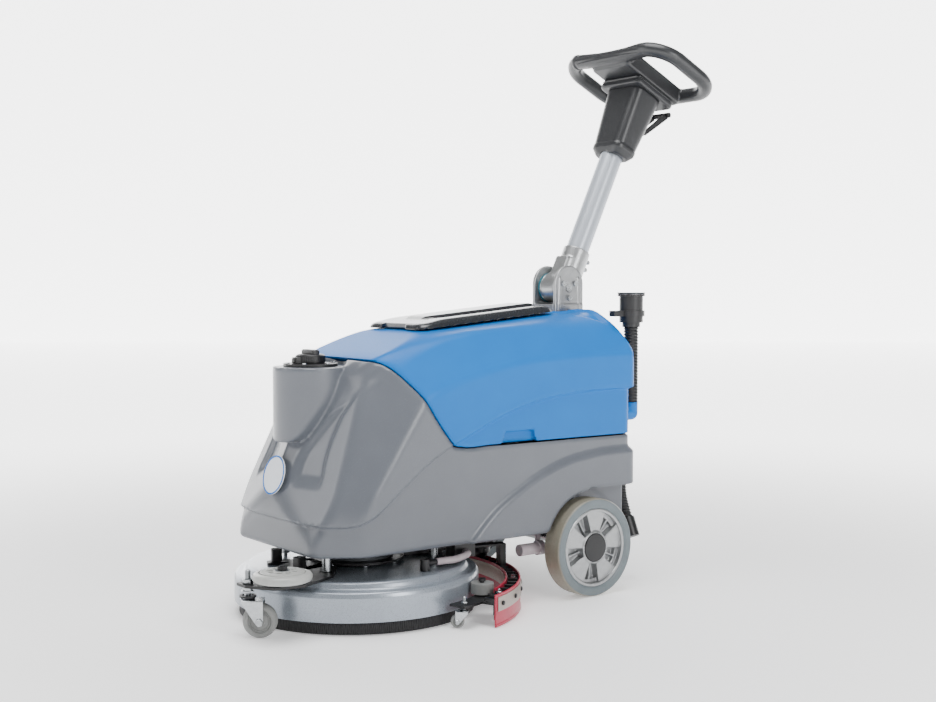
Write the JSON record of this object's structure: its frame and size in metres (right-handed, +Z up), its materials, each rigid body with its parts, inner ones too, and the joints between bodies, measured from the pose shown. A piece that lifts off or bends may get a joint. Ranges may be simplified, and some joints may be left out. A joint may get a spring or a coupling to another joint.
{
  "type": "walk-behind wet dry floor scrubber",
  "caption": "Compact walk-behind floor scrubber: round brush deck, curved squeegee, lift-off recovery tank over a solution tank, folding pole handle with grip loop.",
  "frame": {"origin": "on the floor, at the middle of the machine's footprint", "axes": "+Z up, front of the machine towards -Y, +X to the machine's left"},
  "size_m": [0.6062, 1.1681, 1.1615],
  "materials": {
    "grey_shell": "satin moulded polyethylene",
    "blue_shell": "satin moulded polyethylene",
    "dark_plastic": "moulded, fine grain",
    "lid_plastic": "glossy moulded",
    "black_plastic": "moulded",
    "steel": "zinc plated",
    "cast_aluminium": "cast, blasted",
    "pole_finish": "silver powder coat",
    "deck_paint": "silver-blue powder coat",
    "black_paint": "black powder coat",
    "tyre_rubber": "grey polyurethane",
    "wheel_grey": "grey rubber",
    "bumper_plastic": "pale non-marking rubber",
    "bristle": "nylon bristle",
    "red_rubber": "polyurethane",
    "strip_metal": "stainless",
    "black_rubber": "ribbed",
    "clear_hose": "clear vinyl",
    "badge": "printed",
    "battery_case": "moulded",
    "motor_metal": "painted",
    "float_white": "moulded",
    "wood_block": "moulded"
  },
  "bodies": {
    "base": {"base_tank": "grey_shell", "filler_neck": "black_plastic", "cover_screws": "steel", "front_badge": "badge", "chassis_frame": "black_paint", "axle_shaft": "steel", "deck_cover": "deck_paint", "brush_motor": "motor_metal", "deck_mounts": "steel", "bumper_bracket": "black_paint", "batteries": "battery_case", "vacuum_motor": "motor_metal", "charger_socket": "black_plastic", "hose_fittings": "black_plastic", "solution_hose": "clear_hose", "solution_filter": "clear_hose", "rear_hose": "black_rubber", "rear_hose_cuff": "black_plastic", "handle_bracket": "cast_aluminium", "pivot_bolt": "steel", "suction_hose": "black_rubber"},
    "filler_cap": {"filler_cap": "black_plastic"},
    "left_wheel": {"left_wheel_hub": "cast_aluminium", "left_wheel_tyre": "tyre_rubber", "left_wheel_bearings": "steel"},
    "right_wheel": {"right_wheel_hub": "cast_aluminium", "right_wheel_tyre": "tyre_rubber", "right_wheel_bearings": "steel"},
    "brush": {"drive_hub": "black_plastic", "brush_block": "wood_block", "brush_bristles": "bristle"},
    "front_caster": {"front_caster_fork": "steel"},
    "front_caster_wheel": {"front_caster_wheel": "wheel_grey"},
    "bumper": {"bumper_wheel": "bumper_plastic"},
    "squeegee": {"squeegee_body": "black_plastic", "squeegee_blades": "red_rubber", "blade_clamps": "strip_metal", "squeegee_arms": "black_paint", "end_plates": "black_paint"},
    "left_roller": {"left_roller": "wheel_grey"},
    "right_roller": {"right_roller": "wheel_grey"},
    "left_mini_caster": {"left_mini_fork": "steel"},
    "left_mini_wheel": {"left_mini_wheel": "wheel_grey"},
    "right_mini_caster": {"right_mini_fork": "steel"},
    "right_mini_wheel": {"right_mini_wheel": "wheel_grey"},
    "tank": {"recovery_tank": "blue_shell", "drain_coupling": "black_plastic", "drain_hose": "black_rubber"},
    "float": {"float_ball": "float_white"},
    "lid": {"tank_lid": "lid_plastic"},
    "drain_cap": {"drain_cap": "black_plastic"},
    "handle": {"handle_knuckle": "cast_aluminium", "handle_pole": "pole_finish", "head_housing": "dark_plastic", "loop_handle": "dark_plastic", "control_panel": "dark_plastic"},
    "start_lever": {"start_lever": "black_plastic"},
    "brush_switch": {"brush_switch": "black_plastic"},
    "vacuum_switch": {"vacuum_switch": "black_plastic"},
    "key": {"key": "steel"}
  },
  "joints": [
    {"name": "left_wheel_spin", "type": "hinge", "parent": "base", "child": "left_wheel", "pos_m": [0.2, 0.153, 0.1], "axis": [1, 0, 0], "continuous": true},
    {"name": "right_wheel_spin", "type": "hinge", "parent": "base", "child": "right_wheel", "pos_m": [-0.2, 0.153, 0.1], "axis": [1, 0, 0], "continuous": true},
    {"name": "brush_spin", "type": "hinge", "parent": "base", "child": "brush", "pos_m": [0, -0.279, 0.046], "axis": [0, 0, 1], "continuous": true},
    {"name": "front_caster_swivel", "type": "hinge", "parent": "base", "child": "front_caster", "pos_m": [0.084, -0.565, 0.094], "axis": [0, 0, 1], "continuous": true},
    {"name": "front_caster_roll", "type": "hinge", "parent": "front_caster", "child": "front_caster_wheel", "pos_m": [0.09724, -0.54743, 0.0315], "axis": [0.7986, -0.6018, 0], "continuous": true},
    {"name": "bumper_spin", "type": "hinge", "parent": "base", "child": "bumper", "pos_m": [0.128, -0.519, 0.11], "axis": [0, 0, 1], "continuous": true},
    {"name": "squeegee_swing", "type": "hinge", "parent": "base", "child": "squeegee", "pos_m": [0, -0.279, 0.054], "axis": [0, 0, 1], "range_deg": [-12, 12], "deforming": ["suction_hose"]},
    {"name": "left_roller_spin", "type": "hinge", "parent": "squeegee", "child": "left_roller", "pos_m": [0.22304, -0.13963, 0.048], "axis": [0, 0, 1], "continuous": true},
    {"name": "right_roller_spin", "type": "hinge", "parent": "squeegee", "child": "right_roller", "pos_m": [-0.22304, -0.13963, 0.048], "axis": [0, 0, 1], "continuous": true},
    {"name": "left_mini_swivel", "type": "hinge", "parent": "squeegee", "child": "left_mini_caster", "pos_m": [0.26489, -0.21296, 0.041], "axis": [0, 0, 1], "continuous": true},
    {"name": "left_mini_roll", "type": "hinge", "parent": "left_mini_caster", "child": "left_mini_wheel", "pos_m": [0.25707, -0.22334, 0.013], "axis": [-0.7986, 0.6018, 0], "continuous": true},
    {"name": "right_mini_swivel", "type": "hinge", "parent": "squeegee", "child": "right_mini_caster", "pos_m": [-0.26489, -0.21296, 0.041], "axis": [0, 0, 1], "continuous": true},
    {"name": "right_mini_roll", "type": "hinge", "parent": "right_mini_caster", "child": "right_mini_wheel", "pos_m": [-0.25707, -0.22334, 0.013], "axis": [0.7986, 0.6018, 0], "continuous": true},
    {"name": "filler_cap_lift", "type": "slide", "parent": "base", "child": "filler_cap", "axis": [0, 0, -1], "range_m": [-0.06, 0]},
    {"name": "tank_lift", "type": "slide", "parent": "base", "child": "tank", "axis": [0, 0, -1], "range_m": [-0.3, 0]},
    {"name": "float_rise", "type": "slide", "parent": "tank", "child": "float", "axis": [0, 0, 1], "range_m": [0, 0.024]},
    {"name": "lid_open", "type": "hinge", "parent": "tank", "child": "lid", "pos_m": [0, 0.153, 0.577], "axis": [1, 0, 0], "range_deg": [-80, 0]},
    {"name": "drain_cap_lift", "type": "slide", "parent": "tank", "child": "drain_cap", "axis": [0, 0, -1], "range_m": [-0.05, 0]},
    {"name": "handle_fold", "type": "hinge", "parent": "base", "child": "handle", "pos_m": [0, 0.241, 0.628], "axis": [1, 0, 0], "range_deg": [-20, 100]},
    {"name": "start_lever_squeeze", "type": "hinge", "parent": "handle", "child": "start_lever", "pos_m": [0, 0.47853, 0.97891], "axis": [1, 0, 0], "range_deg": [0, 7], "stiffness_Nm_per_rad": 2, "springref_deg": -14.32},
    {"name": "brush_switch_rock", "type": "hinge", "parent": "handle", "child": "brush_switch", "pos_m": [0.026, 0.49021, 1.10877], "axis": [1, 0, 0], "range_deg": [0, 10]},
    {"name": "vacuum_switch_rock", "type": "hinge", "parent": "handle", "child": "vacuum_switch", "pos_m": [-0.026, 0.49021, 1.10877], "axis": [1, 0, 0], "range_deg": [0, 10]},
    {"name": "key_turn", "type": "hinge", "parent": "handle", "child": "key", "pos_m": [0, 0.45687, 1.12711], "axis": [0, 0.4352, 0.9003], "range_deg": [0, 90]}
  ]
}
